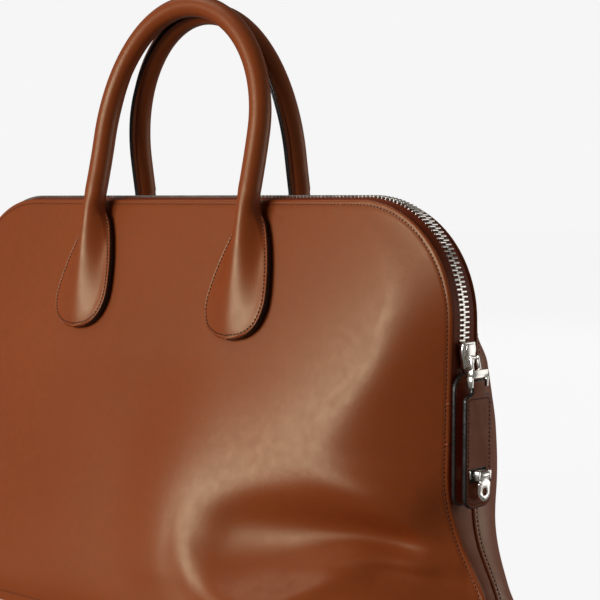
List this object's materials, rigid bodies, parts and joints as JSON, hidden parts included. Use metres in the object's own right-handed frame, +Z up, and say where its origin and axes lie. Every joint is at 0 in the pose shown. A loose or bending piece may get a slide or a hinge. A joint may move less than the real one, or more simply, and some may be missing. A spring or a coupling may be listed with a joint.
{
  "type": "bowling bag",
  "caption": "Soft leather bowling bag with a zip over the top and down its ends, a flared base, rolled handles with paddle ends, and a flip clasp on the zip pull.",
  "frame": {"origin": "centre of the base, on the surface that the bag stands on", "axes": "+X along the bag towards the zip's slider, -Y out of the front panel, +Z up"},
  "size_m": [0.4872, 0.1819, 0.3941],
  "materials": {
    "leather": "smooth semi-matte calf",
    "zip_tape": "woven tape",
    "nickel": "polished nickel"
  },
  "bodies": {
    "bag": {"front_panel": "leather", "back_panel": "leather", "base_panel": "leather", "gusset_right": "leather", "gusset_left": "leather", "zip_tape_front": "zip_tape", "zip_tape_back": "zip_tape", "zip_chain": "nickel", "zip_slider": "nickel", "pull_fork": "nickel", "pull_tab": "leather", "base_tab": "leather", "end_tab": "leather", "clasp_staple": "nickel", "handle_front": "leather", "handle_back": "leather", "backing_front_right": "leather", "backing_front_left": "leather", "backing_back_right": "leather", "backing_back_left": "leather"},
    "tongue": {"clasp_tongue": "nickel"}
  },
  "joints": [
    {"name": "tongue_flip", "type": "hinge", "parent": "bag", "child": "tongue", "pos_m": [0.2308, 0, 0.1088], "axis": [0, -1, 0], "range_deg": [0, 90]}
  ]
}
